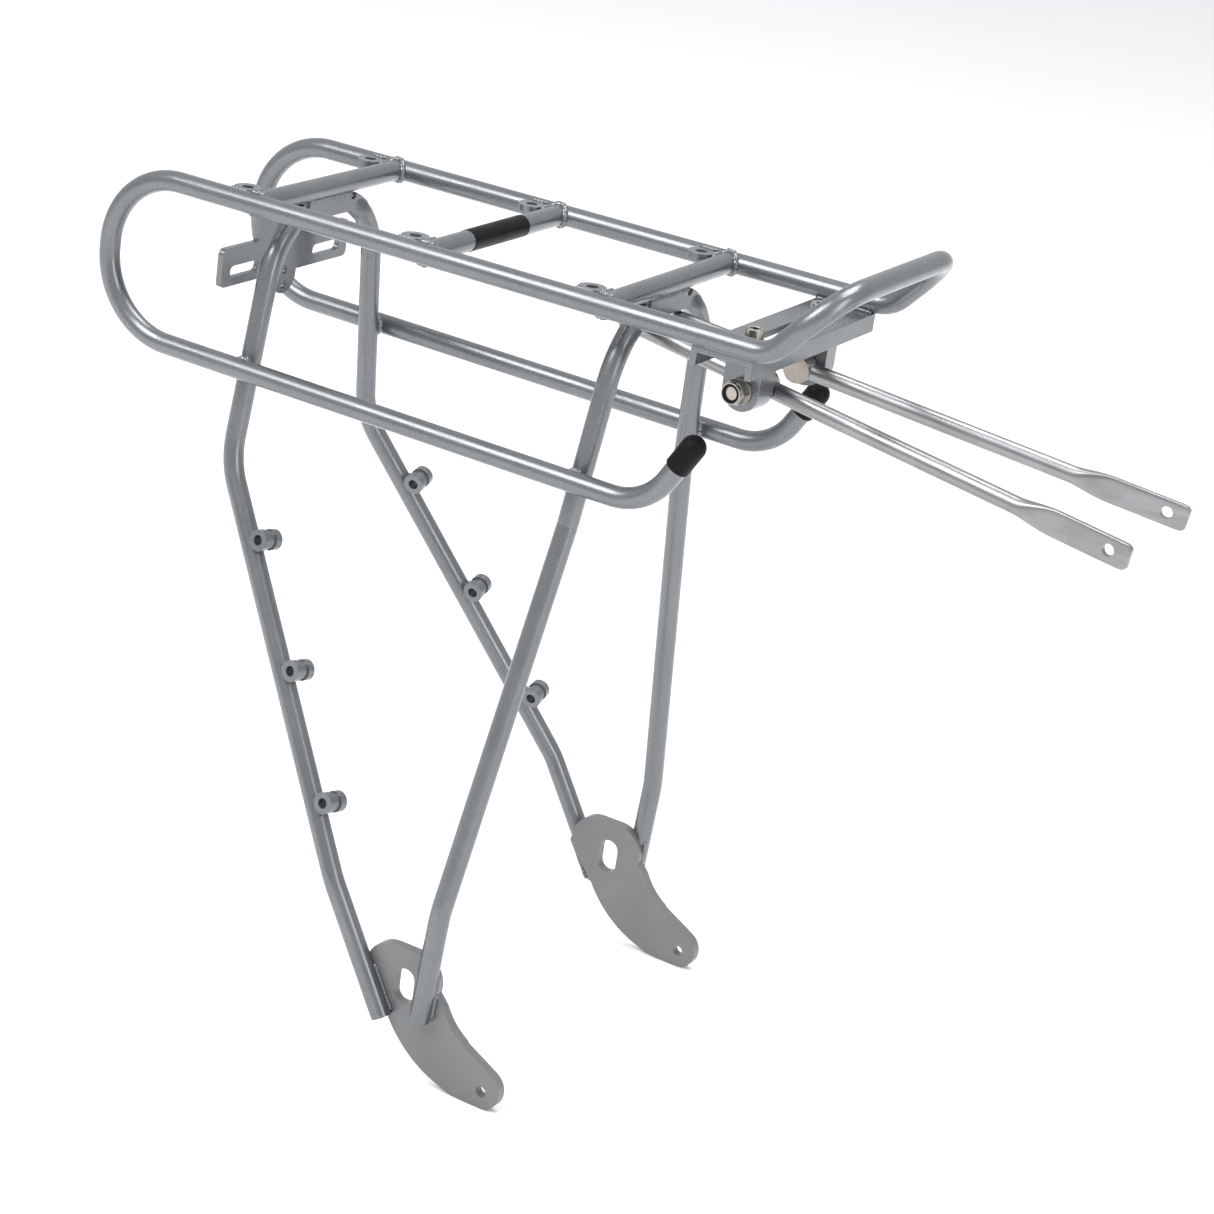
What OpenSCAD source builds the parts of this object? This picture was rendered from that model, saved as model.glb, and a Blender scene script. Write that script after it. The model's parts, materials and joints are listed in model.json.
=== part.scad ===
// Rear pannier rack for a bicycle, with adjustable stay rods.
// Millimetres. +X points forward, +Y to the left of the bicycle, +Z up.
// The origin is the midpoint between the two dropout eyelet holes.

/* [Tubes] */
// Outside diameter of every frame tube
tube_od = 10; // [8:0.5:12]
// Wall thickness of the frame tubes
tube_wall = 1; // [0.8:0.1:1.5]

/* [Platform] */
// Height of the top rails above the dropout eyelets
top_z = 371.5; // [300:0.5:400]
// Half the centre distance of the two side rails
rail_y = 60.5; // [50:0.5:70]
// Height of the pannier rails at their front bend
low_front_z = 288.9; // [260:0.1:310]
// Height of the pannier rails at the rear loop
low_rear_z = 293.2; // [260:0.1:310]
// Rearmost centreline position of the side loops
loop_x = -281.5; // [-320:0.5:-240]
// Where the top rails start to rise into the front hoop
hoop_foot_x = 68.8; // [50:0.5:90]
// Position of the hoop bar
hoop_x = 96.5; // [80:0.5:120]
// Height of the hoop bar
hoop_z = 403; // [380:0.5:420]
// Position of the rear cross tube
cross_rear_x = -201.6; // [-230:0.1:-150]
// Position of the middle cross tube
cross_mid_x = -107.9; // [-150:0.1:-60]
// Position of the front cross tube
cross_front_x = -14.5; // [-50:0.1:20]

/* [Legs] */
// Half the centre distance of the legs at the dropout plates
foot_y = 100.8; // [80:0.1:110]
// Height of the upper bend of the rear legs
rear_knee_z = 244.8; // [220:0.1:260]
// Height of the lower bend of the rear legs
rear_ankle_z = 78; // [60:0.5:100]
// Height of the upper bend of the front legs
front_knee_z = 266; // [240:0.5:280]
// Height of the lower bend of the front legs
front_ankle_z = 82; // [60:0.5:100]

/* [Dropouts] */
// Thickness of the dropout plates
drop_t = 5; // [3:0.5:8]
// Distance of the dropout plate centre planes from the middle
drop_y = 95.2; // [80:0.1:105]
// Diameter of the eyelet hole for the frame bolt
eyelet_d = 5.5; // [5:0.1:6.5]

/* [Cage bosses] */
// Distance between neighbouring threaded bosses
boss_pitch = 64; // [60:1:70]
// Length of a boss
boss_len = 12; // [8:0.5:16]
// Outside diameter of a boss
boss_d = 10.4; // [8:0.1:12]
// Diameter of the threaded hole
boss_hole_d = 5; // [4:0.1:6]

/* [Stays] */
// Diameter of a stay rod
rod_d = 8; // [6:0.5:10]
// Diameter of the hole in a rod tip
tip_hole_d = 5.5; // [5:0.1:6.5]
// Position of the slotted bar's screws
bar_x = 46.9; // [40:0.1:60]
// Half the distance between the two clamp screws
screw_y = 32; // [26:0.5:40]
// Height of the pivot of the stay rods
pivot_z = 344.7; // [335:0.1:350]
// Downward slope of the stay rods in degrees
rod_pitch = 6.7; // [0:0.1:15]
// Outward angle of the stay rods in degrees
rod_yaw = 4.76; // [0:0.01:8]

/* [Light bracket] */
// Distance of the light bracket plate behind the rear cross tube
light_back = 22; // [10:0.5:30]
// Smallest screw distance the two slots accept
light_min = 50; // [40:1:60]
// Largest screw distance the two slots accept
light_max = 84; // [60:1:90]

/* [Hidden] */
$fn = 64;
tr = tube_od / 2;
fit = 0.05;
eps = 0.5;
// lap and step between the straights and the bends of a tube
tube_lap = 0.6;
tube_step = 0.04;
rail_end = [39.8, 321.2];
rail_front_x = 21.07;
loop_r = 38;
lift_r = 30;
foot_r = 16;
corner_r = 24;
// centre of the shoulder curve of the arches, and the curve's centreline radius
arch_c = [5.6, 325.8];
arch_r = 38;
arch_end = 50;
arch_t = 4;
// straight end of a leg tube where it meets its arch plate
leg_lead = 0.5;
silver = [0.62, 0.64, 0.66];
steel = [0.78, 0.77, 0.74];
bright = [0.85, 0.86, 0.88];
black = [0.06, 0.06, 0.06];

// Sub-part to draw, or all of them

// ---- vector helpers ----
function unit(v) = v / norm(v);
function turn(a, b) = acos(min(1, max(-1, unit(a) * unit(b))));
function square_to(a, b) = unit(b - (unit(a) * b) * unit(a));
function seg(p, i) = p[i + 1] - p[i];
function bend_at(p, i) = turn(seg(p, i - 1), seg(p, i));
function cut_back(p, r, i) =
    (i <= 0 || i >= len(p) - 1) ? 0 : r[i] * tan(bend_at(p, i) / 2);

// moves a shape to point c with its x, y and z axes along the given directions
module place(c, x, y, z) {
    multmatrix([
        [x[0], y[0], z[0], c[0]],
        [x[1], y[1], z[1], c[1]],
        [x[2], y[2], z[2], c[2]],
        [0, 0, 0, 1]
    ])
        children();
}

// round bar from a to b
module bar(a, b, r) {
    d = unit(b - a);
    side = abs(d[2]) < 0.9 ? [0, 0, 1] : [1, 0, 0];
    x = square_to(d, side);
    y = cross(d, x);
    place(a, x, y, d)
        cylinder(h = norm(b - a), r = r);
}

// cross-section of a tube; a bend is drawn a little thinner by t than the straights it enters
module ring(t) {
    difference() {
        circle(r = tr - t);
        circle(r = tr - tube_wall + t);
    }
}

// angle from x to n, seen along h
function roll_to(h, x, n) = atan2(cross(h, x) * n, x * n);

// Runs a tube along the points p, bent at each inner point with the centreline radius rr.
// Each piece is drawn in the frame of the one before it, with z along the tube.
module run(p, rr, i, x) {
    h = unit(seg(p, i));
    straight = norm(seg(p, i)) - cut_back(p, rr, i) - cut_back(p, rr, i + 1);
    translate([0, 0, i > 0 ? -tube_lap : 0])
        linear_extrude(height = straight + (i > 0 ? tube_lap : 0)
            + (i < len(p) - 2 ? tube_lap : 0))
            ring(0);
    if (i < len(p) - 2) {
        n = square_to(h, seg(p, i + 1));
        a = bend_at(p, i + 1);
        rb = rr[i + 1];
        translate([0, 0, straight])
            rotate([0, 0, roll_to(h, x, n)])
                translate([rb, 0, 0]) {
                    rotate([90, 0, 0])
                        rotate([0, 0, 180 - a])
                            rotate_extrude(angle = a)
                                translate([rb, 0])
                                    ring(tube_step);
                    rotate([0, a, 0])
                        translate([-rb, 0, 0])
                            run(p, rr, i + 1, n * cos(a) - h * sin(a));
                }
    }
}

// hollow tube, open at both ends
module bent_tube(p, rr) {
    h = unit(seg(p, 0));
    x = square_to(h, abs(h[2]) < 0.9 ? [0, 0, 1] : [1, 0, 0]);
    place(p[0], x, cross(h, x), h)
        run(p, rr, 0, x);
}

// makes a copy for the right-hand side of a part drawn on the left
module side(s) {
    if (s < 0)
        mirror([0, 1, 0])
            children();
    else
        children();
}

// ---- platform ----
function rail_half(s) = [
    [rail_end[0], s * rail_y, rail_end[1]],
    [rail_front_x, s * rail_y, low_front_z],
    [loop_x, s * rail_y, low_rear_z],
    [loop_x, s * rail_y, top_z],
    [hoop_foot_x, s * rail_y, top_z],
    [hoop_x, s * rail_y, hoop_z]
];
rail_right = rail_half(-1);
rail_left = rail_half(1);
rail_path = concat(rail_right, [for (i = [5:-1:0]) rail_left[i]]);
rail_radii = [0, lift_r, loop_r, loop_r, foot_r, corner_r,
    corner_r, foot_r, loop_r, loop_r, lift_r, 0];

module rail_tube() {
    color(silver)
        bent_tube(rail_path, rail_radii);
}

// tube across the platform, its ends shaped to the side rails
module cross_tube(x) {
    color(silver)
        difference() {
            bar([x, -rail_y, top_z], [x, rail_y, top_z], tr);
            bar([x, -rail_y - eps, top_z], [x, rail_y + eps, top_z], tr - tube_wall);
            for (s = [-1, 1])
                bar([x - 3 * tr, s * rail_y, top_z], [x + 3 * tr, s * rail_y, top_z], tr);
        }
}

module cross_tube_rear() {
    cross_tube(cross_rear_x);
}

module cross_tube_middle() {
    cross_tube(cross_mid_x);
}

module cross_tube_front() {
    cross_tube(cross_front_x);
}

// plain band round the middle cross tube
band_len = 47;
band_t = 0.25;
module label_band() {
    color(black)
        translate([cross_mid_x, 0, top_z])
            rotate([90, 0, 0])
                difference() {
                    cylinder(h = band_len, r = tr + band_t, center = true);
                    cylinder(h = band_len + 2 * eps, r = tr, center = true);
                }
}

// six flat eyelets in the corners behind the cross tubes
eye_r = 6.5;
eye_hole = 5.5;
eye_t = 3;
eye_y = rail_y - tr - eye_r + 1.3;
eye_x = tr + eye_r - 0.6;
eye_z = top_z + 1.2;
module deck_eyelets() {
    color(silver)
        for (x = [cross_rear_x, cross_mid_x, cross_front_x])
            for (s = [-1, 1])
                difference() {
                    translate([x - eye_x, s * eye_y, eye_z])
                        difference() {
                            cylinder(h = eye_t, r = eye_r);
                            translate([0, 0, -eps])
                                cylinder(h = eye_t + 2 * eps, d = eye_hole);
                        }
                    bar([x - 3 * eye_r, s * rail_y, top_z], [x + tr, s * rail_y, top_z], tr);
                    bar([x, -rail_y, top_z], [x, rail_y, top_z], tr);
                }
}

// ---- arches ----
// curved strip of the arch between two angles, in the plane across the rack
module arch_strip(a0, a1) {
    far = 2 * arch_r;
    intersection() {
        difference() {
            circle(r = arch_r + tr);
            circle(r = arch_r - tr);
        }
        polygon([[0, 0], far * [cos(a0), sin(a0)],
            far * [cos((a0 + a1) / 2), sin((a0 + a1) / 2)], far * [cos(a1), sin(a1)]]);
    }
}

// the plate starts where the leg tube ends, leg_lead beyond the end of its curve
plate_from = arch_end + leg_lead / arch_r * 180 / PI;
arch_low = arch_c[1] + arch_r - tr - 1.8;
module arch_plate(x) {
    color(silver)
        difference() {
            translate([x, 0, 0])
                rotate([90, 0, 90])
                    linear_extrude(height = arch_t, center = true)
                        difference() {
                            union() {
                                for (m = [0, 1])
                                    mirror([m, 0])
                                        translate(arch_c)
                                            arch_strip(plate_from, 96);
                                translate([-17, arch_low])
                                    square([34, top_z - arch_low]);
                            }
                            for (m = [0, 1])
                                mirror([m, 0])
                                    translate([19.2, top_z - tr - 1.6])
                                        circle(r = 2.2, $fn = 24);
                        }
            bar([x, -rail_y, top_z], [x, rail_y, top_z], tr);
        }
}

module arch_plate_rear() {
    arch_plate(cross_rear_x);
}

module arch_plate_front() {
    arch_plate(cross_front_x);
}

// ---- legs ----
// the legs splay by leg_rise mm for every leg_run mm of height below the arch
leg_rise = 7.5;
leg_run = 49;
arch_start_dir = atan(leg_rise / leg_run);
function arch_point(a, r) = [arch_c[0] + r * cos(a), arch_c[1] + r * sin(a)];
function leg_vertex() =
    let (s = arch_point(arch_start_dir, arch_r),
        t = arch_r * tan((arch_end - arch_start_dir) / 2))
    [s[0] - t * sin(arch_start_dir), s[1] + t * cos(arch_start_dir)];
leg_corner = leg_vertex();
leg_top = arch_point(arch_end, arch_r) + leg_lead * [-sin(arch_end), cos(arch_end)];
function leg_y_at(z) = arch_point(arch_start_dir, arch_r)[0]
    + (arch_point(arch_start_dir, arch_r)[1] - z) * tan(arch_start_dir);

rear_leg = [
    [cross_rear_x, leg_top[0], leg_top[1]],
    [cross_rear_x, leg_corner[0], leg_corner[1]],
    [cross_rear_x - 1.7, leg_y_at(rear_knee_z), rear_knee_z],
    [-92.1, 99.8, rear_ankle_z],
    [-56.5, foot_y, 19]
];
front_leg = [
    [cross_front_x, leg_top[0], leg_top[1]],
    [cross_front_x, leg_corner[0], leg_corner[1]],
    [-19.8, leg_y_at(front_knee_z), front_knee_z],
    [-32.2, 100.2, front_ankle_z],
    [-35.7, foot_y, 25.5]
];
leg_radii = [0, arch_r, 40, 40, 0];

module leg(p) {
    color(silver)
        difference() {
            bent_tube(p, leg_radii);
            translate([0, drop_y, 0])
                rotate([90, 0, 0])
                    linear_extrude(height = drop_t, center = true)
                        dropout_blank();
        }
}

module leg_rear_right() {
    side(-1)
        leg(rear_leg);
}

module leg_rear_left() {
    leg(rear_leg);
}

module leg_front_right() {
    side(-1)
        leg(front_leg);
}

module leg_front_left() {
    leg(front_leg);
}

// ---- dropout plates ----
lobe_r = 14.5;
lobe_z = 42;
lobe_x = [-55.5, -44.5];
heel_r = 58.4;
heel_c = [-5.5, 49.7];
toe_r = 10;
toe_c = [-0.2, 1.2];
hollow_r = 33;
hollow_c = [3.9, 48.6];
slot_r = 5.25;
slot_x = -48;
slot_z = [33.5, 41];
// the plate before its slot and eyelet hole are cut
module dropout_blank() {
    difference() {
        union() {
            for (x = lobe_x)
                translate([x, lobe_z])
                    circle(r = lobe_r);
            translate([lobe_x[0], lobe_z - lobe_r])
                square([lobe_x[1] - lobe_x[0], 2 * lobe_r]);
            intersection() {
                translate(heel_c)
                    circle(r = heel_r, $fn = 128);
                polygon([[-50, 11], [-66, 31], [-62, -20], [-1, -20], [4.56, 9.99],
                    [-12, 19], [-30.2, 39], [-44, 45], [-66, 33]]);
            }
            polygon([[-66.6, 32.6], [-49.4, 12.2], [-44, 45], [-60, 42]]);
            translate(toe_c)
                circle(r = toe_r);
        }
        translate(hollow_c)
            circle(r = hollow_r);
    }
}

module dropout_outline() {
    difference() {
        dropout_blank();
        for (z = slot_z)
            translate([slot_x, z])
                circle(r = slot_r);
        translate([slot_x - slot_r, slot_z[0]])
            square([2 * slot_r, slot_z[1] - slot_z[0]]);
        circle(d = eyelet_d);
    }
}

module dropout() {
    color(silver)
        translate([0, drop_y, 0])
            rotate([90, 0, 0])
                linear_extrude(height = drop_t, center = true)
                    dropout_outline();
}

module dropout_right() {
    side(-1)
        dropout();
}

module dropout_left() {
    dropout();
}

// ---- cage bosses ----
shin = unit(rear_leg[3] - rear_leg[2]);
boss_axis = square_to(shin, [0, 1, 0]);
boss_out = unit(cross(boss_axis, shin));
// how far the leg tube is let into a boss
boss_bite = 0.8;
boss_side = boss_out[0] > 0 ? boss_out : -boss_out;
boss_gap = tr + boss_d / 2 - boss_bite;
// distance of the first boss below the knee, along the leg
boss_from_knee = 42.3;
boss_first = rear_leg[2] + shin * boss_from_knee;
module cage_boss() {
    difference() {
        union() {
            cylinder(h = boss_len, d = boss_d - 1.8, center = true);
            for (z = [-1, 1])
                translate([0, 0, z * (boss_len / 2 - 2)])
                    cylinder(h = 4, d = boss_d, center = true);
        }
        cylinder(h = boss_len + 2 * eps, d = boss_hole_d, center = true);
    }
}

module cage_bosses() {
    color(silver)
        difference() {
            for (i = [0:2])
                place(boss_first + shin * boss_pitch * i + boss_side * boss_gap,
                    shin, cross(boss_axis, shin), boss_axis)
                    cage_boss();
            bar(rear_leg[2], rear_leg[3], tr);
        }
}

module cage_bosses_right() {
    side(-1)
        cage_bosses();
}

module cage_bosses_left() {
    cage_bosses();
}

// ---- light bracket ----
lp_x = cross_rear_x - light_back;
lp_t = 3;
lp_z = 331;
wing_y = 51.5;
light_slot_d = 5.5;
tongue_r = 9.5;
tongue_drop = 8.5;
tongue_holes = [6.2, 13.6];
riser_y = 24;
shelf_y = 14.5;
shelf_z = lp_z + 24.5;
module light_bracket() {
    color(silver) {
        translate([lp_x, 0, 0])
            rotate([90, 0, 90])
                linear_extrude(height = lp_t, center = true)
                    difference() {
                        union() {
                            translate([-wing_y, lp_z - 4])
                                square([2 * wing_y, 13]);
                            translate([-wing_y + 3, lp_z - 7])
                                square([2 * wing_y - 6, 19]);
                            for (y = [-1, 1])
                                for (z = [lp_z - 4, lp_z + 9])
                                    translate([y * (wing_y - 3), z])
                                        circle(r = 3, $fn = 32);
                            translate([-riser_y, lp_z + 5])
                                square([2 * riser_y, shelf_z + arch_t - lp_z - 5]);
                            translate([-tongue_r, lp_z - tongue_drop])
                                square([2 * tongue_r, tongue_drop]);
                            translate([0, lp_z - tongue_drop])
                                circle(r = tongue_r);
                        }
                        for (y = [-1, 1]) {
                            for (c = [light_min / 2, light_max / 2])
                                translate([y * c, lp_z])
                                    circle(d = light_slot_d, $fn = 32);
                            translate([y * (light_min + light_max) / 4, lp_z])
                                square([(light_max - light_min) / 2, light_slot_d], center = true);
                        }
                        for (z = tongue_holes)
                            translate([0, lp_z - z])
                                circle(d = 4, $fn = 32);
                    }
        // shelf that joins the plate to the arch
        translate([lp_x, -shelf_y, shelf_z])
            cube([light_back - arch_t / 2, 2 * shelf_y, arch_t]);
    }
}

// ---- slotted bar for the stays ----
stay_bar_x = [31.9, 61.9];
stay_bar_y = 61;
stay_bar_top = top_z - tr + 0.1;
stay_bar_h = 9;
stay_bar_t = 3;
stay_slot = 6;
stay_slot_y = 46;
module stay_bar() {
    color(silver)
        difference() {
            translate([stay_bar_x[0], -stay_bar_y, stay_bar_top - stay_bar_h])
                cube([stay_bar_x[1] - stay_bar_x[0], 2 * stay_bar_y, stay_bar_h]);
            translate([stay_bar_x[0] + stay_bar_t, -stay_bar_y - eps,
                stay_bar_top - stay_bar_h - eps])
                cube([stay_bar_x[1] - stay_bar_x[0] - 2 * stay_bar_t, 2 * stay_bar_y + 2 * eps,
                    stay_bar_h - stay_bar_t + eps]);
            translate([bar_x - stay_slot / 2, -stay_slot_y, stay_bar_top - 2 * stay_bar_t])
                cube([stay_slot, 2 * stay_slot_y, 3 * stay_bar_t]);
            for (s = [-1, 1])
                translate([bar_x, s * stay_slot_y, stay_bar_top - 2 * stay_bar_t])
                    cylinder(h = 3 * stay_bar_t, d = stay_slot);
        }
}

// ---- rubber end caps ----
cap_wall = 0.8;
cap_over = 12;
cap_lip = 0.6;
rail_tip_dir = unit([rail_end[0] - rail_front_x, 0, rail_end[1] - low_front_z]);
module end_cap() {
    tip = [rail_end[0], rail_y, rail_end[1]];
    r = tr + cap_wall;
    color(black)
        place(tip, [rail_tip_dir[2], 0, -rail_tip_dir[0]], [0, 1, 0], rail_tip_dir)
            difference() {
                union() {
                    translate([0, 0, -cap_over])
                        cylinder(h = cap_over + cap_lip, r = r);
                    intersection() {
                        translate([0, 0, cap_lip])
                            sphere(r = r);
                        cylinder(h = 2 * r, r = 2 * r);
                    }
                }
                translate([0, 0, -cap_over - eps])
                    cylinder(h = cap_over + eps, r = tr);
            }
}

module end_cap_right() {
    side(-1)
        end_cap();
}

module end_cap_left() {
    end_cap();
}

// ---- stay clamps; each is drawn about its screw axis and turned by the rod's yaw ----
module at_screw(s) {
    side(s)
        translate([bar_x, screw_y, 0])
            rotate([0, 0, rod_yaw])
                children();
}

// height range of the clamp: ear below the bar, thread up to the bar
ear_w = 19;
ear_t = 12;
ear_y = [-7.4, 4.6];
ear_top = stay_bar_top - stay_bar_t - 0.05;
bolt_d = 6;
rod_y = -12.2;
disc_t = 0.8;
disc_y = ear_y[0] - disc_t;
head_r = 6.2;
head_t = 10.2;
module bracket() {
    color(silver)
        difference() {
            union() {
                translate([0, (ear_y[0] + ear_y[1]) / 2, pivot_z])
                    rotate([90, 0, 0])
                        cylinder(h = ear_t, d = ear_w, center = true);
                translate([-ear_w / 2, ear_y[0], pivot_z])
                    cube([ear_w, ear_t, ear_top - pivot_z]);
            }
            translate([0, ear_y[1] + 1, pivot_z])
                rotate([90, 0, 0])
                    cylinder(h = ear_t + 2, r = bolt_d / 2 + fit);
            translate([0, 0, ear_top - 8.5])
                cylinder(h = 10, r = 2.5);
        }
}

module bracket_right() {
    at_screw(-1)
        bracket();
}

module bracket_left() {
    at_screw(1)
        bracket();
}

screw_head_d = 8.5;
screw_head_h = 5;
screw_washer_t = 1;
screw_seat = stay_bar_top + screw_washer_t;
module clamp_screw() {
    color(steel)
        difference() {
            union() {
                translate([0, 0, screw_seat])
                    cylinder(h = screw_head_h, d = screw_head_d);
                translate([0, 0, ear_top - 8])
                    cylinder(h = screw_seat - ear_top + 8, r = 2.5);
            }
            translate([0, 0, screw_seat + screw_head_h - 3])
                cylinder(h = 4, d = 4 / cos(30), $fn = 6);
        }
}

module clamp_screw_right() {
    at_screw(-1)
        clamp_screw();
}

module clamp_screw_left() {
    at_screw(1)
        clamp_screw();
}

module clamp_washer() {
    color(steel)
        translate([0, 0, stay_bar_top + 0.02])
            difference() {
                cylinder(h = screw_washer_t - 0.02, r = 5);
                translate([0, 0, -eps])
                    cylinder(h = screw_washer_t + 2 * eps, r = 2.5);
            }
}

module clamp_washer_right() {
    at_screw(-1)
        clamp_washer();
}

module clamp_washer_left() {
    at_screw(1)
        clamp_washer();
}

// a disc between two distances along the pivot axis
module pivot_disc(y0, y1, r) {
    translate([0, y1, pivot_z])
        rotate([90, 0, 0])
            cylinder(h = y1 - y0, r = r);
}

nut_washer_t = 1.2;
nut_h = 5;
insert_h = 1.8;
bolt_end = ear_y[1] + nut_washer_t + nut_h + 0.9;
module eyebolt() {
    color(steel)
        difference() {
            union() {
                pivot_disc(disc_y - head_t, disc_y - 0.05, head_r);
                pivot_disc(disc_y - 1, bolt_end, bolt_d / 2);
            }
            translate([0, rod_y, pivot_z])
                rotate([0, 90 + rod_pitch, 0])
                    cylinder(h = 4 * head_r, r = rod_d / 2 + fit, center = true);
        }
}

module eyebolt_right() {
    at_screw(-1)
        eyebolt();
}

module eyebolt_left() {
    at_screw(1)
        eyebolt();
}

module friction_disc() {
    color(black)
        difference() {
            pivot_disc(disc_y, ear_y[0], head_r);
            pivot_disc(disc_y - 1, ear_y[0] + 1, bolt_d / 2 + fit);
        }
}

module friction_disc_right() {
    at_screw(-1)
        friction_disc();
}

module friction_disc_left() {
    at_screw(1)
        friction_disc();
}

module nut_washer() {
    color(steel)
        difference() {
            pivot_disc(ear_y[1] + 0.05, ear_y[1] + nut_washer_t, 6);
            pivot_disc(ear_y[1] - 1, ear_y[1] + nut_washer_t + 1, bolt_d / 2);
        }
}

module nut_washer_right() {
    at_screw(-1)
        nut_washer();
}

module nut_washer_left() {
    at_screw(1)
        nut_washer();
}

nut_y = ear_y[1] + nut_washer_t;
module lock_nut() {
    color(steel)
        difference() {
            union() {
                translate([0, nut_y, pivot_z])
                    rotate([-90, 0, 0])
                        cylinder(h = nut_h, d = 10 / cos(30), $fn = 6);
                pivot_disc(nut_y + nut_h, nut_y + nut_h + insert_h, 4.9);
            }
            pivot_disc(nut_y - 1, nut_y + nut_h + 0.01, bolt_d / 2);
            pivot_disc(nut_y + nut_h, nut_y + nut_h + insert_h + 1, 4.3);
        }
}

module lock_nut_right() {
    at_screw(-1)
        lock_nut();
}

module lock_nut_left() {
    at_screw(1)
        lock_nut();
}

module nut_insert() {
    color(black)
        difference() {
            pivot_disc(nut_y + nut_h, nut_y + nut_h + insert_h - 0.2, 4.3);
            pivot_disc(nut_y, nut_y + nut_h + 2 * insert_h, bolt_d / 2);
        }
}

module nut_insert_right() {
    at_screw(-1)
        nut_insert();
}

module nut_insert_left() {
    at_screw(1)
        nut_insert();
}

// ---- stay rods, drawn along their own axis from the pivot ----
rod_back = 76;
rod_front = 141;
tip_hole_at = 177.3;
tip_end_at = 187;
tip_w = 12;
tip_t = 3;
tip_root = 6;
module stay_rod() {
    color(bright)
        translate([0, rod_y, pivot_z])
            rotate([0, rod_pitch, 0])
                difference() {
                    union() {
                        translate([-rod_back, 0, 0])
                            rotate([0, 90, 0])
                                cylinder(h = rod_back + rod_front, r = rod_d / 2);
                        translate([rod_front - tip_root, tip_t / 2, 0])
                            rotate([90, 0, 0])
                                linear_extrude(height = tip_t)
                                    tip_outline();
                    }
                    translate([tip_hole_at, 0, 0])
                        rotate([90, 0, 0])
                            cylinder(h = 4 * tip_t, d = tip_hole_d, center = true);
                }
}

// outline of the flattened tip, with a rounded end
module tip_outline() {
    len_tip = tip_end_at - rod_front + tip_root;
    intersection() {
        translate([0, -tip_w / 2])
            square([len_tip, tip_w]);
        translate([len_tip - 1.6 * tip_w, 0])
            circle(r = 1.6 * tip_w, $fn = 96);
    }
    translate([0, -rod_d / 2])
        square([len_tip / 2, rod_d]);
}

module stay_rod_right() {
    at_screw(-1)
        stay_rod();
}

module stay_rod_left() {
    at_screw(1)
        stay_rod();
}

rail_tube();
cross_tube_rear();
cross_tube_middle();
cross_tube_front();
arch_plate_rear();
arch_plate_front();
leg_rear_right();
leg_rear_left();
leg_front_right();
leg_front_left();
dropout_right();
dropout_left();
cage_bosses_right();
cage_bosses_left();
deck_eyelets();
light_bracket();
stay_bar();
end_cap_right();
end_cap_left();
label_band();
bracket_right();
bracket_left();
clamp_screw_right();
clamp_screw_left();
clamp_washer_right();
clamp_washer_left();
eyebolt_right();
eyebolt_left();
friction_disc_right();
friction_disc_left();
nut_washer_right();
nut_washer_left();
lock_nut_right();
lock_nut_left();
nut_insert_right();
nut_insert_left();
stay_rod_right();
stay_rod_left();
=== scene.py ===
"""Rear pannier rack: finished surfaces, welds, materials, light and camera on the CAD frame.

Lengths below are in millimetres and become metres in mm(). +X is forward, +Y left, +Z up.
"""

import json
import math

import bmesh
import bpy
from mathutils import Matrix, Vector

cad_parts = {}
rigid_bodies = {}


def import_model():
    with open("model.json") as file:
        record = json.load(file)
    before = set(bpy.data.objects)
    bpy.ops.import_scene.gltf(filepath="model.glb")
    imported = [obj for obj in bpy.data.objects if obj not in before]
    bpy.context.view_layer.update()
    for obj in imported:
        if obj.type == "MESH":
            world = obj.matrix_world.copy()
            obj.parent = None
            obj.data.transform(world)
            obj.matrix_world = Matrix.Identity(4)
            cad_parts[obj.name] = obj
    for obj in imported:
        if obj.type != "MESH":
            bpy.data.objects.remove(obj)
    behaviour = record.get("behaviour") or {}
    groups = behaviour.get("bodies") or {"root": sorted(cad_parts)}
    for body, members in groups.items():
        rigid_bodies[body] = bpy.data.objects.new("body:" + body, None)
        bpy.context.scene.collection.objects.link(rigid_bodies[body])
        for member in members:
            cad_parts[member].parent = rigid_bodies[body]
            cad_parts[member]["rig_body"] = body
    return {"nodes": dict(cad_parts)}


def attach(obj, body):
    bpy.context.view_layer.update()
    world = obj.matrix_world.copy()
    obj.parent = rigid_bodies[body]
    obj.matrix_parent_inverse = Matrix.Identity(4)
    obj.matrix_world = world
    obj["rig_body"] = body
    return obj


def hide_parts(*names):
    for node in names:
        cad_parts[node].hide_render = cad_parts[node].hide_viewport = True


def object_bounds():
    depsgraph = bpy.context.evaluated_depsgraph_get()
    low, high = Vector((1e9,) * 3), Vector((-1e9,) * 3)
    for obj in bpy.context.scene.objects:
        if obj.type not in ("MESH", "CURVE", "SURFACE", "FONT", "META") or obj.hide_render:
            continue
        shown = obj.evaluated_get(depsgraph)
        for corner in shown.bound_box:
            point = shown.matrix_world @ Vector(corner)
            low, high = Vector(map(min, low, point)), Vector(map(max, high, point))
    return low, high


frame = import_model()
nodes = frame["nodes"]
cad_low, cad_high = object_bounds()

MM = 0.001
SIDES = {"right": -1, "left": 1}

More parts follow.
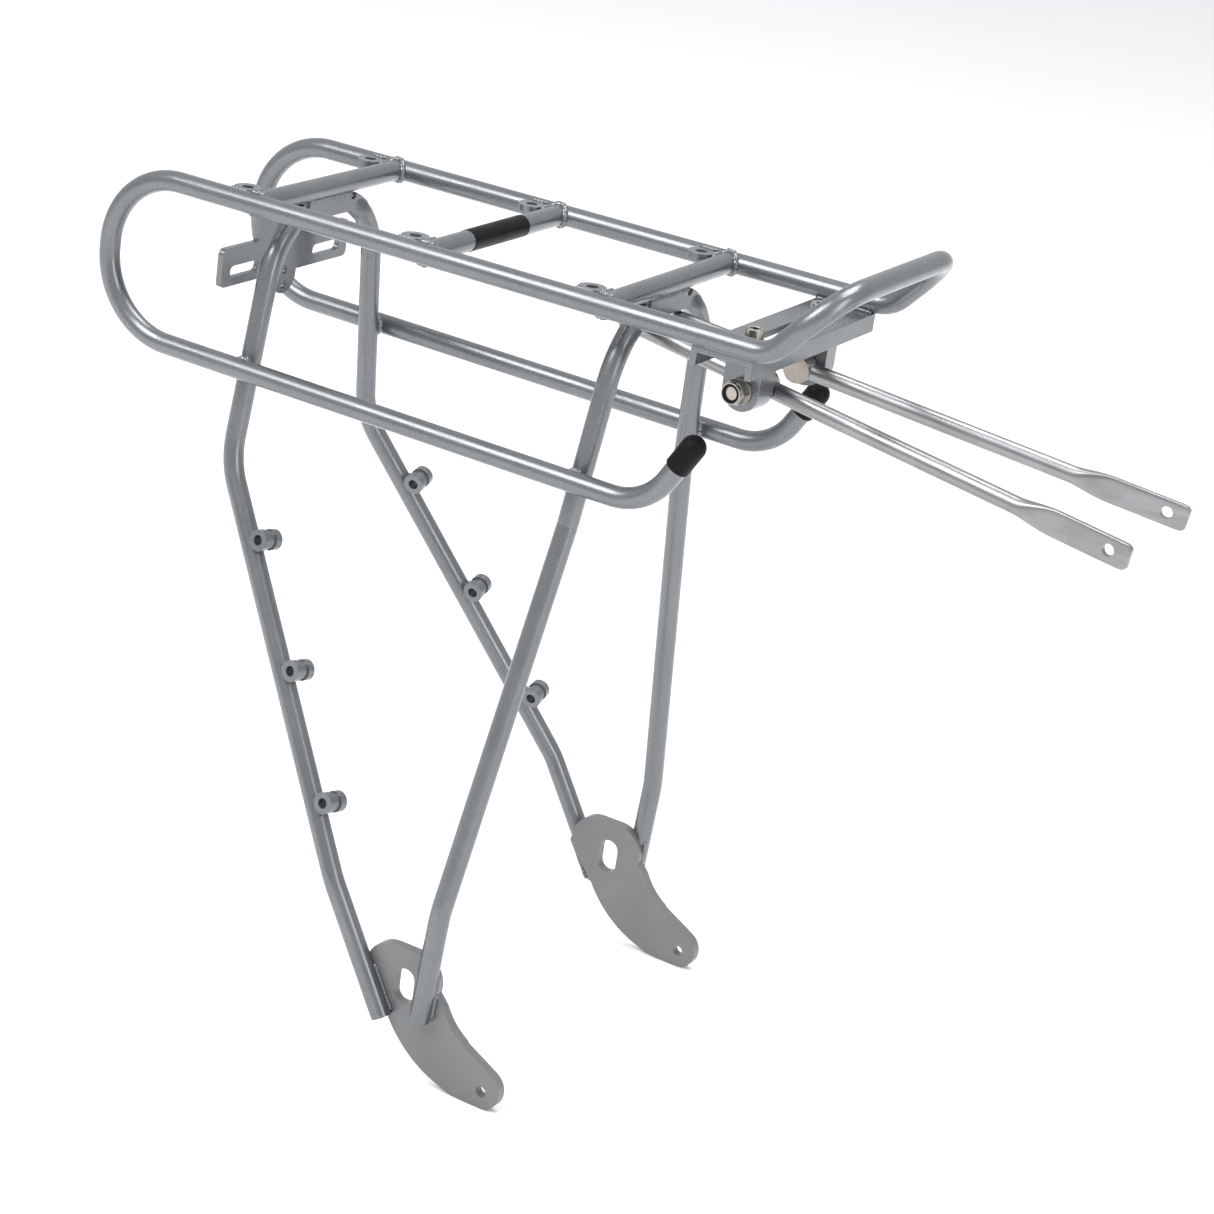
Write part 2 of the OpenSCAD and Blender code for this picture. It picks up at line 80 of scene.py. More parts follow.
# ---- dimensions, as in the CAD source ----
TUBE_R = 5.0
TUBE_WALL = 1.0
TOP_Z = 371.5
RAIL_Y = 60.5
LOOP_X = -281.5
LOOP_R = 38.0
LOW_REAR_Z = 293.2
LOW_FRONT_Z = 288.9
LOW_FRONT_X = 21.07
LIFT_R = 30.0
RAIL_END = (39.8, 321.2)
HOOP_FOOT_X = 68.8
FOOT_R = 16.0
HOOP = (96.5, 403.0)
CORNER_R = 24.0
CROSS_X = {"rear": -201.6, "middle": -107.9, "front": -14.5}
ARCH_C = (5.6, 325.8)
ARCH_R = 38.0
ARCH_END = math.radians(50)
ARCH_T = 4.0
ARCH_BLOCK_Y = 17.0
LEG_LEAD = 0.5
LEG_SPLAY = math.atan(7.5 / 49)
FOOT_Y = 100.8
DROP_Y = 95.2
DROP_T = 5.0
EYE_Y = 50.3
EYE_BACK = 10.9
EYE_TOP = 375.7
BAR_X = 46.9
SCREW_Y = 32.0
PIVOT_Z = 344.7
ROD_Y = -12.2
ROD_R = 4.0
ROD_PITCH = math.radians(6.7)
ROD_YAW = math.radians(4.76)
ROD_BACK = 76.0
ROD_FRONT = 141.0
TIP_HOLE_AT = 177.3
TIP_END = 187.0
TIP_W = 12.0
TIP_T = 3.0
TIP_HOLE_R = 2.75
BOSS_PITCH = 64.0
BOSS_FROM_KNEE = 42.3

# ---- visual dimensions ----
ROUND_SIDES = 40
BLEND_LAP = math.radians(5)
BLEND_RUN = math.radians(17)
BLEND_STEPS = 22
SADDLE_BEAD = 1.5
EYELET_BEAD = 0.9
PLATE_BEAD = 1.3
SHELF_BEAD = 1.2
RAIL_BEAD = 1.9
EYELET_REACH = 2.8
EYELET_HALF = 4.5
RAIL_SPOT_R = 3.1
BAR_END = (57.3, 367.0)
BAR_EDGES = (32.6, 61.2)
SHELF_Z = 359.6
SHELF_HALF = 14.0
PLATE_BEAD_LEN = 24.0
BOSS_BEAD_HALF = 3.6
BOSS_BEAD_APART = 3.2
ROD_SIDES = 48
ROD_CHAMFER = 0.5
FLAT_START = ROD_FRONT - 9
FLAT_END = ROD_FRONT + 11
TIP_ROUND_FROM = 180.0
DRILL_HALF = 6
FLOOR_SIZE = 12.0


def mm(point):
    """A point in millimetres as a vector in metres."""
    return Vector(point) * MM


# ---- paths ----
def rounded(points, radii, turn=math.radians(3)):
    """Centreline through the points, each inner corner rounded to its radius. Millimetres."""
    pts = [Vector(p) for p in points]
    out = [pts[0]]
    for i in range(1, len(pts) - 1):
        a = (pts[i] - pts[i - 1]).normalized()
        b = (pts[i + 1] - pts[i]).normalized()
        angle = a.angle(b)
        start = pts[i] - a * radii[i] * math.tan(angle / 2)
        inward = (b - a * a.dot(b)).normalized()
        centre = start + inward * radii[i]
        steps = max(3, round(angle / turn))
        for k in range(steps + 1):
            t = angle * k / steps
            out.append(centre + radii[i] * (a * math.sin(t) - inward * math.cos(t)))
    out.append(pts[-1])
    return out


def along(path, step):
    """The same path with points no further than step apart."""
    out = [path[0]]
    for a, b in zip(path, path[1:]):
        count = max(1, math.ceil((b - a).length / step))
        out += [a.lerp(b, k / count) for k in range(1, count + 1)]
    return out


def rail_path():
    """Centreline of the one tube that makes both side loops and the front hoop."""
    half = [
        (RAIL_END[0], RAIL_END[1]),
        (LOW_FRONT_X, LOW_FRONT_Z),
        (LOOP_X, LOW_REAR_Z),
        (LOOP_X, TOP_Z),
        (HOOP_FOOT_X, TOP_Z),
        HOOP,
    ]
    points = [(x, -RAIL_Y, z) for x, z in half] + [(x, RAIL_Y, z) for x, z in reversed(half)]
    bends = [0, LIFT_R, LOOP_R, LOOP_R, FOOT_R, CORNER_R]
    return rounded(points, bends + bends[::-1])


def leg_points(which):
    """Corner points of a left leg, from the arch plate down to the dropout plate."""
    cy, cz = ARCH_C
    start = (cy + ARCH_R * math.cos(LEG_SPLAY), cz + ARCH_R * math.sin(LEG_SPLAY))
    tangent = ARCH_R * math.tan((ARCH_END - LEG_SPLAY) / 2)
    corner = (start[0] - tangent * math.sin(LEG_SPLAY), start[1] + tangent * math.cos(LEG_SPLAY))
    top = (
        cy + ARCH_R * math.cos(ARCH_END) - LEG_LEAD * math.sin(ARCH_END),
        cz + ARCH_R * math.sin(ARCH_END) + LEG_LEAD * math.cos(ARCH_END),
    )
    x = CROSS_X[which]
    knee_x, knee_z, ankle, foot = {
        "rear": (x - 1.7, 244.8, (-92.1, 99.8, 78), (-56.5, FOOT_Y, 19)),
        "front": (-19.8, 266, (-32.2, 100.2, 82), (-35.7, FOOT_Y, 25.5)),
    }[which]
    knee_y = start[0] + (start[1] - knee_z) * math.tan(LEG_SPLAY)
    return [
        Vector(p)
        for p in ((x, *top), (x, *corner), (knee_x, knee_y, knee_z), ankle, foot)
    ]


def mirrored(path, side):
    """The path on the given side of the rack; paths are drawn on the left."""
    return [Vector((p.x, p.y * SIDES[side], p.z)) for p in path]


# ---- mesh building ----
def frames(path, closed=False):
    """Tangent and two cross directions at every point, carried along without twist."""
    count = len(path)
    out = []
    across = None
    for i in range(count):
        if closed:
            tangent = path[(i + 1) % count] - path[i - 1]
        else:
            tangent = path[min(i + 1, count - 1)] - path[max(i - 1, 0)]
        tangent.normalize()
        if across is None:
            across = Vector((0, 0, 1)) if abs(tangent.z) < 0.9 else Vector((1, 0, 0))
        across = (across - tangent * across.dot(tangent)).normalized()
        out.append((tangent, across.copy(), tangent.cross(across)))
    return out


def ring(bm, centre, u, v, ru, rv, sides):
    """One ring of vertices, an ellipse with half-widths ru and rv."""
    turns = [2 * math.pi * k / sides for k in range(sides)]
    return [
        bm.verts.new(mm(centre + u * ru * math.cos(t) + v * rv * math.sin(t))) for t in turns
    ]


def bridge(bm, a, b):
    for k in range(len(a)):
        n = (k + 1) % len(a)
        bm.faces.new((a[k], a[n], b[n], b[k]))


def finish_mesh(name, bm, slot, body, sharp=40):
    """Makes the object, shades it, and ties it to its material and its CAD body."""
    bmesh.ops.recalc_face_normals(bm, faces=bm.faces)
    for face in bm.faces:
        face.smooth = True
    mesh = bpy.data.meshes.new(name)
    bm.to_mesh(mesh)
    bm.free()
    mesh.set_sharp_from_angle(angle=math.radians(sharp))
    obj = bpy.data.objects.new(name, mesh)
    bpy.context.scene.collection.objects.link(obj)
    obj.data.materials.append(MATERIALS[slot])
    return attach(obj, body)


def tube(bm, path, radius, wall, sides=ROUND_SIDES, edge=0.25):
    """A hollow tube along the path, its end edges slightly rounded."""
    cross = frames(path)
    outer = [ring(bm, p, u, v, radius, radius, sides) for p, (_, u, v) in zip(path, cross)]
    inner = [
        ring(bm, p, u, v, radius - wall, radius - wall, sides)
        for p, (_, u, v) in zip(path, cross)
    ]
    for i in range(len(path) - 1):
        bridge(bm, outer[i], outer[i + 1])
        bridge(bm, inner[i], inner[i + 1])
    for end, way in ((0, 1), (-1, -1)):
        tangent = cross[end][0] * way
        for vert in outer[end]:
            vert.co += tangent * edge * MM
        _, u, v = cross[end]
        lip = ring(bm, path[end], u, v, radius - edge, radius - edge, sides)
        bridge(bm, outer[end], lip)
        bridge(bm, lip, inner[end])


def bead(bm, path, radius, closed=False, pitch=2.2, sides=12):
    """A weld bead along the path: a low rippled roll, tapered where it starts and stops."""
    path = path if closed else along(path, 0.45)
    cross = frames(path, closed)
    rings = []
    travelled = 0.0
    for i, (p, (_, u, v)) in enumerate(zip(path, cross)):
        if i:
            travelled += (p - path[i - 1]).length
        ripple = abs(math.sin(math.pi * travelled / pitch))
        lump = 0.07 * math.sin(1.3 * travelled + p.x * 900) + 0.05 * math.sin(0.7 * travelled)
        size = radius * (0.86 + 0.3 * ripple + lump)
        if not closed:
            ends = min(i, len(path) - 1 - i) / 4
            size *= math.sqrt(min(1.0, 0.15 + ends))
        rings.append(ring(bm, p, u, v, size, size, sides))
    for i in range(len(rings) - 1):
        bridge(bm, rings[i], rings[i + 1])
    if closed:
        bridge(bm, rings[-1], rings[0])
    else:
        bm.faces.new(rings[0])
        bm.faces.new(rings[-1])


def edged_copy(node, width, slot, segments=3, sharp=32):
    """A copy of a CAD node with its sharp edges rounded over, which stands for the node."""
    bm = bmesh.new()
    bm.from_mesh(nodes[node].data)
    bmesh.ops.remove_doubles(bm, verts=bm.verts, dist=2e-6)
    bmesh.ops.dissolve_limit(
        bm, angle_limit=math.radians(0.5), verts=bm.verts, edges=bm.edges
    )
    edges = [e for e in bm.edges if e.calc_face_angle(0) > math.radians(sharp)]
    bmesh.ops.bevel(
        bm,
        geom=edges,
        offset=width * MM,
        segments=segments,
        profile=0.5,
        affect="EDGES",
        clamp_overlap=True,
    )
    obj = finish_mesh(node + ".finished", bm, slot, nodes[node]["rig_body"])
    weighted = obj.modifiers.new("even_shading", "WEIGHTED_NORMAL")
    weighted.keep_sharp = True
    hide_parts(node)
    return obj


# ---- materials ----
class Shader:
    """A small wrapper that adds nodes to one material and links them in order."""

    def __init__(self, name):
        self.material = bpy.data.materials.new(name)
        self.material.use_nodes = True
        self.tree = self.material.node_tree
        self.surface = self.tree.nodes["Principled BSDF"]
        coordinates = self.add("ShaderNodeTexCoord")
        self.place = coordinates.outputs["Object"]

    def add(self, kind, **values):
        node = self.tree.nodes.new(kind)
        for key, value in values.items():
            setattr(node, key, value)
        return node

    def link(self, a, b):
        self.tree.links.new(a, b)

    def stretched(self, scale):
        mapping = self.add("ShaderNodeMapping")
        mapping.inputs["Scale"].default_value = scale
        self.link(self.place, mapping.inputs["Vector"])
        return mapping.outputs["Vector"]

    def noise(self, scale, detail=3.0, vector=None):
        node = self.add("ShaderNodeTexNoise")
        node.inputs["Scale"].default_value = scale
        node.inputs["Detail"].default_value = detail
        self.link(vector or self.place, node.inputs["Vector"])
        return node.outputs["Fac"]

    def spread(self, value, low, high, from_low=0.3, from_high=0.7):
        """The value's middle range mapped to low..high."""
        node = self.add("ShaderNodeMapRange")
        node.inputs["From Min"].default_value = from_low
        node.inputs["From Max"].default_value = from_high
        node.inputs["To Min"].default_value = low
        node.inputs["To Max"].default_value = high
        self.link(value, node.inputs["Value"])
        return node.outputs["Result"]

    def blend(self, factor, a, b):
        """A colour between a and b; each is a colour or an output."""
        node = self.add("ShaderNodeMix", data_type="RGBA")
        self.link(factor, node.inputs["Factor"])
        for value, name in ((a, "A"), (b, "B")):
            socket = [s for s in node.inputs if s.name == name and s.type == "RGBA"][0]
            if isinstance(value, tuple):
                socket.default_value = (*value, 1)
            else:
                self.link(value, socket)
        return [s for s in node.outputs if s.type == "RGBA"][0]

    def bump(self, height, strength, distance, before=None):
        node = self.add("ShaderNodeBump")
        node.inputs["Strength"].default_value = strength
        node.inputs["Distance"].default_value = distance
        self.link(height, node.inputs["Height"])
        if before is not None:
            self.link(before, node.inputs["Normal"])
        return node.outputs["Normal"]

    def finish(self, color, roughness, normal, **fixed):
        self.link(color, self.surface.inputs["Base Color"])
        self.link(roughness, self.surface.inputs["Roughness"])
        self.link(normal, self.surface.inputs["Normal"])
        for key, value in fixed.items():
            self.surface.inputs[key.replace("_", " ")].default_value = value
        return self.material


def paint(name, dark, light, metallic, rough, grain):
    """Silver powder coat: fine metallic flake, faint orange peel, slightly uneven colour."""
    s = Shader(name)
    cloud = s.noise(22, 4)
    flake = s.noise(5200, 2)
    base = s.blend(s.spread(cloud, 0, 1), dark, light)
    glint = s.blend(s.spread(flake, 0, 0.35, 0.45, 0.75), base, (0.6, 0.615, 0.63))
    roughness = s.spread(s.noise(60, 5), rough - 0.05, rough + 0.07)
    peel = s.bump(s.noise(900, 2), 0.12, 0.00012)
    grained = s.bump(flake, grain, 0.00006, peel)
    return s.finish(
        glint,
        roughness,
        grained,
        Metallic=metallic,
        Coat_Weight=0.22,
        Coat_Roughness=0.22,
    )


def metal(name, dark, light, rough, stretch, scale=420, strength=0.15):
    """Bare metal with fine drawing or turning marks that run across the stretch."""
    s = Shader(name)
    marks = s.noise(scale, 6, s.stretched(stretch))
    smears = s.noise(45, 4)
    color = s.blend(s.spread(smears, 0, 1), dark, light)
    worn = s.blend(s.spread(marks, 0, 0.3, 0.5, 0.8), color, tuple(c * 0.72 for c in dark))
    roughness = s.spread(marks, rough - 0.05, rough + 0.12)
    normal = s.bump(marks, strength, 0.00005)
    return s.finish(worn, roughness, normal, Metallic=1.0)


def dark_plastic(name, color, rough, grain, coat):
    """Black rubber, nylon or film, with a moulded grain and dusty high spots."""
    s = Shader(name)
    dust = s.noise(300, 5)
    shade = s.blend(s.spread(dust, 0, 0.5), color, tuple(c * 1.6 + 0.001 for c in color))
    roughness = s.spread(s.noise(120, 4), rough - 0.06, rough + 0.08)
    normal = s.bump(s.noise(2600, 3), grain, 0.0001)
    return s.finish(
        shade, roughness, normal, Specular_IOR_Level=0.12, Coat_Weight=coat, Coat_Roughness=0.12
    )


MATERIALS = {
    "frame_paint": paint(
        "silver_paint", (0.115, 0.122, 0.131), (0.145, 0.152, 0.161), 0.7, 0.27, 0.16
    ),
    "plate_paint": paint(
        "plate_paint", (0.112, 0.114, 0.115), (0.14, 0.142, 0.143), 0.4, 0.4, 0.2
    ),
    "rod_aluminium": metal(
        "drawn_aluminium",
        (0.24, 0.243, 0.248),
        (0.31, 0.314, 0.32),
        0.3,
        (0.05, 1, 1),
        strength=0.06,
    ),
    "screw_steel": metal(
        "plated_steel", (0.3, 0.285, 0.26), (0.42, 0.4, 0.365), 0.24, (1, 1, 0.3)
    ),
    "eyebolt_steel": metal(
        "turned_steel", (0.36, 0.31, 0.275), (0.47, 0.42, 0.385), 0.32, (1, 0.05, 1)
    ),
    "black_plastic": dark_plastic("black_nylon", (0.004, 0.004, 0.0044), 0.4, 0.1, 0.0),
    "cap_rubber": dark_plastic("black_rubber", (0.0035, 0.0035, 0.004), 0.5, 0.25, 0.0),
    "band_film": dark_plastic("band_film", (0.0015, 0.0015, 0.0018), 0.4, 0.05, 0.0),
}


# ---- frame tubes ----
def add_tube(node, path):
    bm = bmesh.new()
    tube(bm, along(path, 25), TUBE_R, TUBE_WALL)
    obj = finish_mesh(node + ".finished", bm, "frame_paint", "rack_frame")
    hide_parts(node)


add_tube("rail_tube", rail_path())
LEG_PATHS = {}
for which in ("rear", "front"):
    corners = leg_points(which)
    LEG_PATHS[which] = corners

for node in (
    "cross_tube_rear",
    "cross_tube_middle",
    "cross_tube_front",
    "leg_rear_right",
    "leg_rear_left",
    "leg_front_right",
    "leg_front_left",
):
    edged_copy(node, 0.15, "frame_paint", segments=2, sharp=50)
for node in ("arch_plate_rear", "arch_plate_front", "light_bracket", "stay_bar"):
    edged_copy(node, 0.5, "frame_paint")
for side in SIDES:
    edged_copy(f"dropout_{side}", 0.7, "plate_paint")
    edged_copy(f"cage_bosses_{side}", 0.35, "frame_paint", segments=2)
    edged_copy(f"bracket_{side}", 0.7, "frame_paint")
    edged_copy(f"clamp_screw_{side}", 0.3, "screw_steel", segments=2)
    edged_copy(f"clamp_washer_{side}", 0.15, "screw_steel", segments=2)
    edged_copy(f"eyebolt_{side}", 0.5, "eyebolt_steel")
    edged_copy(f"friction_disc_{side}", 0.15, "black_plastic", segments=2)
    edged_copy(f"nut_washer_{side}", 0.15, "screw_steel", segments=2)
    edged_copy(f"lock_nut_{side}", 0.35, "screw_steel", segments=2)
    edged_copy(f"nut_insert_{side}", 0.2, "black_plastic", segments=2)
    edged_copy(f"end_cap_{side}", 0.3, "cap_rubber")
edged_copy("deck_eyelets", 0.4, "frame_paint")
edged_copy("label_band", 0.06, "band_film", segments=1)


def leg_top_blends():
    """Where each leg's top flattens into its arch plate, which it grips from both sides."""
    bm = bmesh.new()
    cy, cz = ARCH_C
    start, stop = ARCH_END - BLEND_LAP, ARCH_END + BLEND_RUN
    for x in (CROSS_X["rear"], CROSS_X["front"]):
        for s in SIDES.values():
            rings = []
            for k in range(BLEND_STEPS + 1):
                angle = start + (stop - start) * k / BLEND_STEPS
                eased = min(1.0, max(0.0, (angle - ARCH_END) / (stop - ARCH_END)))
                eased = eased * eased * (3 - 2 * eased)
                outward = Vector((0, s * math.cos(angle), math.sin(angle)))
                centre = Vector((x, 0, cz)) + Vector((0, s * cy, 0)) + outward * ARCH_R
                half = (TUBE_R + 0.04) * (1 - eased) + (ARCH_T / 2 - 0.1) * eased
                tall = (TUBE_R + 0.04) * (1 - eased) + (TUBE_R - 0.15) * eased
                along_x = Vector((1, 0, 0))
                rings.append(ring(bm, centre, along_x, outward, half, tall, ROUND_SIDES))
            for a, b in zip(rings, rings[1:]):
                bridge(bm, a, b)
            bm.faces.new(rings[0])
            bm.faces.new(rings[-1])
    finish_mesh("leg_top_blends", bm, "frame_paint", "rack_frame")


leg_top_blends()


# ---- weld beads ----
def weld_beads():
    """Every weld of the rack frame, as one piece."""
    bm = bmesh.new()
    turns = [2 * math.pi * k / 60 for k in range(60)]
    for x in CROSS_X.values():
        for s in SIDES.values():
            saddle = []
            for t in turns:
                depth = max(math.sqrt(1 - math.sin(t) ** 2), 0.3) * TUBE_R
                y = s * (RAIL_Y - depth)
                saddle.append(Vector((x + TUBE_R * math.cos(t), y, TOP_Z + TUBE_R * math.sin(t))))
            bead(bm, saddle, SADDLE_BEAD, closed=True)
            ex, ey = x - EYE_BACK, s * EYE_Y
            rail_side = s * (RAIL_Y - EYELET_REACH)
            straight_bead(
                bm,
                (ex - EYELET_HALF, rail_side, EYE_TOP),
                (ex + EYELET_HALF, rail_side, EYE_TOP),
                EYELET_BEAD,
            )
            straight_bead(
                bm,
                (x - EYELET_REACH, ey - EYELET_HALF, EYE_TOP),
                (x - EYELET_REACH, ey + EYELET_HALF, EYE_TOP),
                EYELET_BEAD,
            )
    for which in ("rear", "front"):
        x = CROSS_X[which]
        under = TOP_Z - math.sqrt(TUBE_R**2 - (ARCH_T / 2) ** 2)
        for face in (-1, 1):
            fx = x + face * ARCH_T / 2
            straight_bead(bm, (fx, -ARCH_BLOCK_Y, under), (fx, ARCH_BLOCK_Y, under), PLATE_BEAD)
        for side in SIDES:
            corners = mirrored(LEG_PATHS[which], side)
            rail_weld(bm, corners, side)
            plate_weld(bm, corners, side)
    for side in SIDES:
        boss_welds(bm, mirrored(LEG_PATHS["rear"], side))
        y, z = SIDES[side] * BAR_END[0], BAR_END[1]
        straight_bead(bm, (BAR_EDGES[0], y, z), (BAR_EDGES[1], y, z), PLATE_BEAD)
    shelf_x = CROSS_X["rear"] - ARCH_T / 2
    straight_bead(bm, (shelf_x, -SHELF_HALF, SHELF_Z), (shelf_x, SHELF_HALF, SHELF_Z), SHELF_BEAD)
    finish_mesh("weld_beads", bm, "frame_paint", "rack_frame", sharp=70)


def straight_bead(bm, start, end, radius):
    bead(bm, [Vector(start), Vector(end)], radius)


def rail_weld(bm, corners, side):
    """The bead round the spot where a leg crosses the lower rail."""
    down = (corners[2] - corners[1]).normalized()
    slope = (LOW_FRONT_Z - LOW_REAR_Z) / (LOW_FRONT_X - LOOP_X)
    x = corners[1].x
    z = LOW_REAR_Z + slope * (x - LOOP_X)
    on_leg = corners[1] + down * ((z - corners[1].z) / down.z)
    s = SIDES[side]
    spot = Vector((on_leg.x, (on_leg.y + s * RAIL_Y) / 2, z))
    turns = [2 * math.pi * k / 48 for k in range(48)]
    loop = [
        spot + Vector((RAIL_SPOT_R * math.cos(t), 0, RAIL_SPOT_R * math.sin(t))) for t in turns
    ]
    bead(bm, loop, RAIL_BEAD, closed=True)


def plate_weld(bm, corners, side):
    """The two beads along a leg where it lies against its dropout plate."""
    s = SIDES[side]
    face = s * (DROP_Y + DROP_T / 2)
    foot, ankle = corners[4], corners[3]
    shin = (ankle - foot).normalized()
    across = shin.cross(Vector((0, 1, 0))).normalized()
    half = math.sqrt(TUBE_R**2 - (FOOT_Y - abs(face)) ** 2) + 0.3
    for way in (-1, 1):
        start = foot + across * half * way + shin * 1.0
        end = start + shin * PLATE_BEAD_LEN
        straight_bead(bm, (start.x, face, start.z), (end.x, face, end.z), PLATE_BEAD)


def boss_welds(bm, corners):
    """Two short beads, above and below each cage boss."""
    shin = (corners[3] - corners[2]).normalized()
    axis = Vector((0, 1, 0)) - shin * shin.y
    axis.normalize()
    forward = axis.cross(shin)
    forward = forward if forward.x > 0 else -forward
    for i in range(3):
        spot = corners[2] + shin * (BOSS_FROM_KNEE + BOSS_PITCH * i) + forward * (TUBE_R + 0.1)
        for way in (-1, 1):
            middle = spot + shin * BOSS_BEAD_APART * way
            half = axis * BOSS_BEAD_HALF
            bead(bm, [middle - half, middle + half], PLATE_BEAD)


weld_beads()


# ---- stay rods ----
def rod_sections():
    """Distance along the rod, half thickness and half width of each section."""
    out = [(-ROD_BACK, ROD_R - ROD_CHAMFER, ROD_R - ROD_CHAMFER)]
    out += [(-ROD_BACK + ROD_CHAMFER, ROD_R, ROD_R)]
    out += [(d, ROD_R, ROD_R) for d in range(-60, 121, 20)]
    for k in range(13):
        t = k / 12
        ease = t * t * (3 - 2 * t)
        thick = ROD_R + (TIP_T / 2 - ROD_R) * ease
        wide = ROD_R + (TIP_W / 2 - ROD_R) * ease
        out.append((FLAT_START + (FLAT_END - FLAT_START) * t, thick, wide))
    out += [(d, TIP_T / 2, TIP_W / 2) for d in (158, 164, 170, 176, 180)]
    for k in range(1, 9):
        t = math.radians(90) * k / 9
        reach = TIP_ROUND_FROM + (TIP_END - TIP_ROUND_FROM) * math.sin(t)
        out.append((reach, TIP_T / 2, TIP_W / 2 * math.sqrt(1 - 0.5 * math.sin(t) ** 6)))
    out.append((TIP_END, TIP_T / 2 - 0.3, TIP_W / 2 * 0.62))
    return out


def squircle(t, a, b, power):
    c, s = math.cos(t), math.sin(t)
    return (
        a * math.copysign(abs(c) ** (2 / power), c),
        b * math.copysign(abs(s) ** (2 / power), s),
    )


def stay_rod(side):
    """A round rod whose front end is pressed flat and drilled."""
    s = SIDES[side]
    yaw = Matrix.Rotation(ROD_YAW, 4, "Z")
    pitch = Matrix.Rotation(ROD_PITCH, 4, "Y")
    place = (
        Matrix.Translation(Vector((BAR_X, SCREW_Y, 0)))
        @ yaw
        @ Matrix.Translation(Vector((0, ROD_Y, PIVOT_Z)))
        @ pitch
    )
    bm = bmesh.new()
    last = None
    for d, thick, wide in rod_sections():
        flatness = (ROD_R - thick) / (ROD_R - TIP_T / 2) if d > 0 else 0
        power = 2 + 5 * max(0.0, min(1.0, flatness))
        current = []
        for k in range(ROD_SIDES):
            y, z = squircle(2 * math.pi * k / ROD_SIDES, thick, wide, power)
            p = place @ Vector((d, y, z))
            current.append(bm.verts.new(mm((p.x, p.y * s, p.z))))
        if last is None:
            bm.faces.new(current)
        else:
            bridge(bm, last, current)
        last = current
    bm.faces.new(last)
    obj = finish_mesh(f"stay_rod_{side}.finished", bm, "rod_aluminium", f"rod_{side}")
    drill = bmesh.new()
    centre = place @ Vector((TIP_HOLE_AT, 0, 0))
    through = place.to_3x3() @ Vector((0, 1, 0))
    centre.y *= s
    through.y *= s
    u = through.orthogonal().normalized()
    v = through.cross(u)
    ends = [
        ring(drill, centre + through * w, u, v, TIP_HOLE_R, TIP_HOLE_R, ROUND_SIDES)
        for w in (-DRILL_HALF, DRILL_HALF)
    ]
    bridge(drill, *ends)
    drill.faces.new(ends[0])
    drill.faces.new(ends[1])
    bmesh.ops.recalc_face_normals(drill, faces=drill.faces)
    mesh = bpy.data.meshes.new("drill")
    drill.to_mesh(mesh)
    drill.free()
    cutter = bpy.data.objects.new("drill", mesh)
    bpy.context.scene.collection.objects.link(cutter)
    cut = obj.modifiers.new("tip_hole", "BOOLEAN")
    cut.operation = "DIFFERENCE"
    cut.solver = "EXACT"
    cut.object = cutter
    bpy.context.view_layer.update()
    evaluated = obj.evaluated_get(bpy.context.evaluated_depsgraph_get())
    result = bpy.data.meshes.new_from_object(evaluated)
    obj.modifiers.clear()
    old = obj.data
    obj.data = result
    bpy.data.meshes.remove(old)
    bpy.data.objects.remove(cutter)
    result.set_sharp_from_angle(angle=math.radians(35))
    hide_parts(f"stay_rod_{side}")


for side in SIDES:
    stay_rod(side)


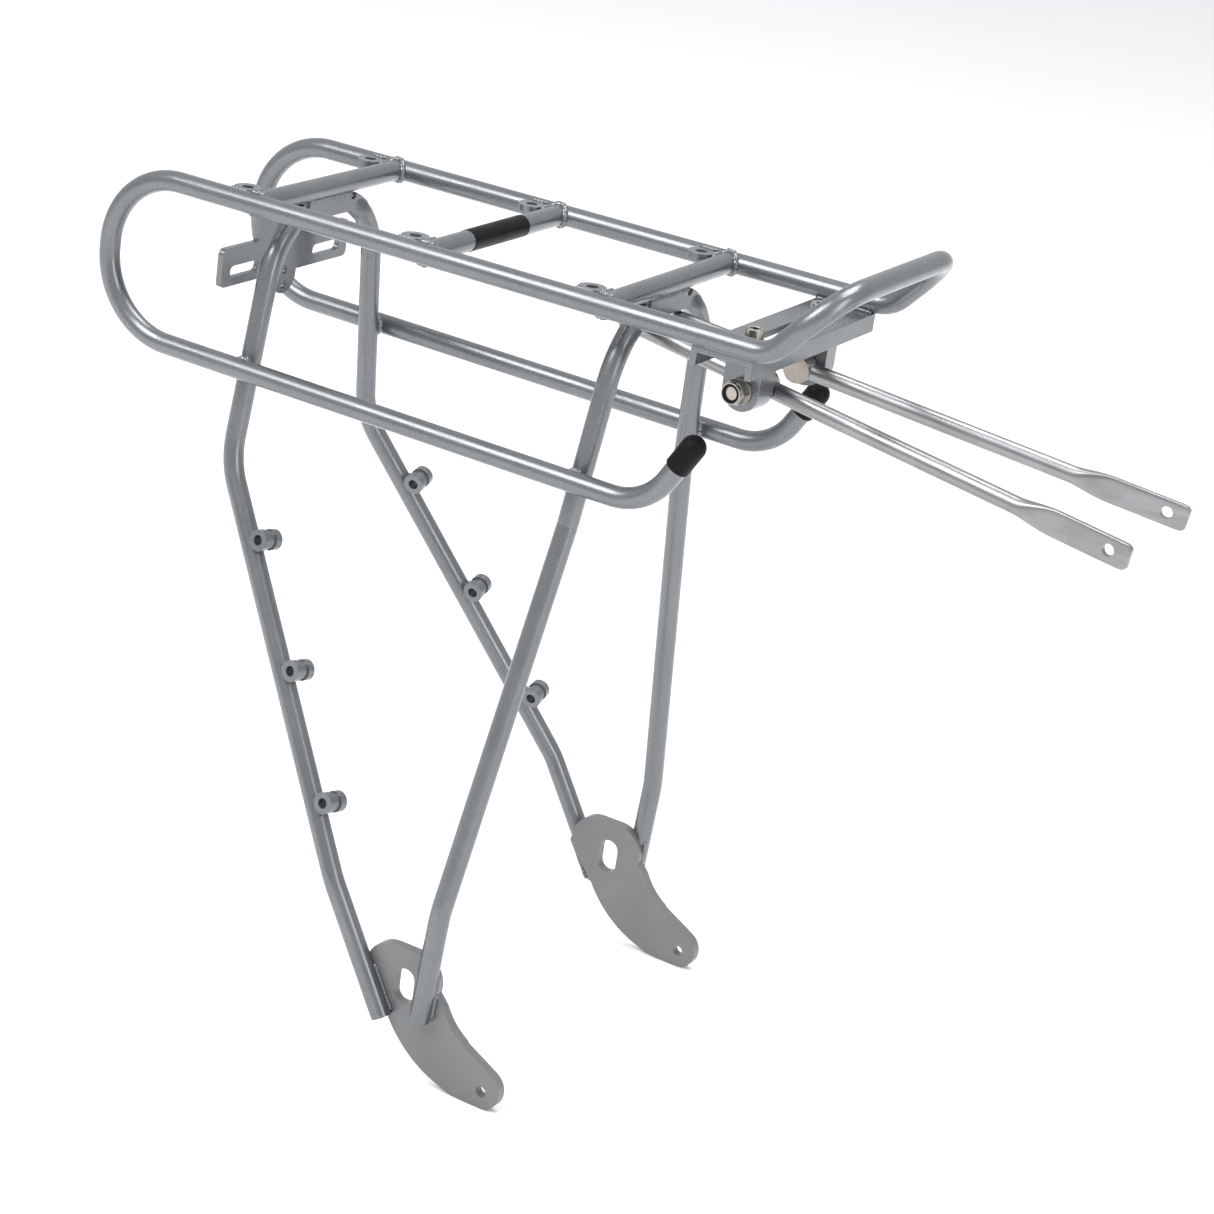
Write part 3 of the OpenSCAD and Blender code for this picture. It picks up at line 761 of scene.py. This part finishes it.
# ---- floor, light and camera ----
def floor():
    """A large pale floor just under the dropout plates."""
    bm = bmesh.new()
    bmesh.ops.create_grid(bm, x_segments=8, y_segments=8, size=FLOOR_SIZE)
    mesh = bpy.data.meshes.new("floor")
    bm.to_mesh(mesh)
    bm.free()
    obj = bpy.data.objects.new("floor", mesh)
    obj.location = (0, 0, cad_low.z)
    bpy.context.scene.collection.objects.link(obj)
    s = Shader("pale_floor")
    color = s.blend(s.noise(3), (0.9, 0.9, 0.9), (0.93, 0.93, 0.93))
    obj.data.materials.append(
        s.finish(color, s.spread(s.noise(8), 0.75, 0.85), s.bump(s.noise(200), 0.02, 0.0002))
    )


def area_light(name, place, target, size, power, color=(1, 1, 1)):
    light = bpy.data.lights.new(name, "AREA")
    light.shape = "RECTANGLE"
    light.size, light.size_y = size
    light.energy = power
    light.color = color
    obj = bpy.data.objects.new(name, light)
    obj.location = place
    obj.rotation_mode = "QUATERNION"
    obj.rotation_quaternion = (Vector(target) - Vector(place)).to_track_quat("-Z", "Y")
    bpy.context.scene.collection.objects.link(obj)


def camera():
    """Looks down at the rack from its right and front through a long lens 1.5 m away."""
    azimuth, elevation, roll = (math.radians(a) for a in (27.302, 21.190, 8.306))
    back = Vector(
        (
            math.sin(azimuth) * math.cos(elevation),
            -math.cos(azimuth) * math.cos(elevation),
            math.sin(elevation),
        )
    )
    level = Vector((math.cos(azimuth), math.sin(azimuth), 0))
    upward = back.cross(level)
    right = level * math.cos(roll) + upward * math.sin(roll)
    up = upward * math.cos(roll) - level * math.sin(roll)
    data = bpy.data.cameras.new("camera")
    data.sensor_width = 36
    data.lens = 90.43
    data.clip_start, data.clip_end = 0.05, 60
    obj = bpy.data.objects.new("camera", data)
    obj.matrix_world = Matrix.Translation(mm((591.54, -1187.71, 729.40))) @ Matrix(
        (right, up, back)
    ).transposed().to_4x4()
    bpy.context.scene.collection.objects.link(obj)
    bpy.context.scene.camera = obj


def sky():
    world = bpy.data.worlds.new("studio")
    world.use_nodes = True
    background = world.node_tree.nodes["Background"]
    background.inputs["Color"].default_value = (0.96, 0.98, 1.0, 1)
    background.inputs["Strength"].default_value = 0.82
    bpy.context.scene.world = world


floor()
sky()
CENTRE = (-0.05, 0, 0.25)
area_light("key", (-0.9, -1.5, 2.2), CENTRE, (1.4, 1.4), 50)
area_light("top", (0.3, 0.5, 2.6), CENTRE, (1.8, 1.2), 40)
area_light("side", (1.9, -0.6, 0.9), CENTRE, (0.7, 1.6), 12)
camera()
bpy.context.scene.view_settings.view_transform = "Standard"
